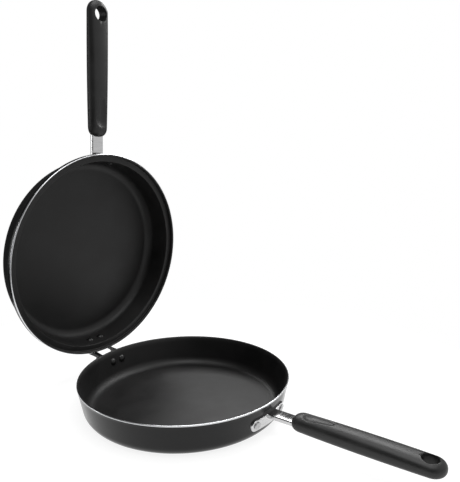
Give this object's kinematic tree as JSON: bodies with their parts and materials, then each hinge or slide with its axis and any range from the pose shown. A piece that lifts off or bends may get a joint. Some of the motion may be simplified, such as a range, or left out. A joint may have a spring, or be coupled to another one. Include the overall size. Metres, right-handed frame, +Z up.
{
  "type": "double sided flip pan",
  "caption": "Two shallow non-stick frying pans joined by a rivet hinge, each with a long grip on a steel bracket; the upper pan folds over to close on the lower.",
  "frame": {"origin": "centre of the lower pan's underside, on the surface it stands on", "axes": "+Z up, +X along the lower handle away from the hinge, +Y along the hinge pin"},
  "size_m": [0.4731, 0.252, 0.4549],
  "materials": {
    "nonstick_pan": "pressed aluminium with a black non-stick coating, bare turned rim",
    "stainless_steel": "brushed",
    "coated_rivets": "aluminium rivets with black-coated domes",
    "phenolic_grip": "moulded phenolic, satin",
    "brass_insert": "knurled, moulded in",
    "zinc_screw": "zinc plated",
    "hinge_steel": "bent sheet steel, coated black",
    "pin_steel": "bare steel, dull"
  },
  "bodies": {
    "lower": {"lower_pan": "nonstick_pan", "lower_handle_bracket": "stainless_steel", "lower_handle_rivets": "coated_rivets", "lower_grip": "phenolic_grip", "lower_grip_insert": "brass_insert", "lower_grip_screw": "zinc_screw", "lower_hinge_bracket": "hinge_steel", "lower_hinge_rivets": "coated_rivets", "hinge_pin": "pin_steel", "hinge_washers": "pin_steel"},
    "upper": {"upper_pan": "nonstick_pan", "upper_handle_bracket": "stainless_steel", "upper_handle_rivets": "coated_rivets", "upper_grip": "phenolic_grip", "upper_grip_insert": "brass_insert", "upper_grip_screw": "zinc_screw", "upper_hinge_bracket": "hinge_steel", "upper_hinge_rivets": "coated_rivets"}
  },
  "joints": [
    {"name": "hinge", "type": "hinge", "parent": "lower", "child": "upper", "pos_m": [-0.1325, 0, 0.026], "axis": [0, -1, 0], "range_deg": [-86, 0]}
  ]
}
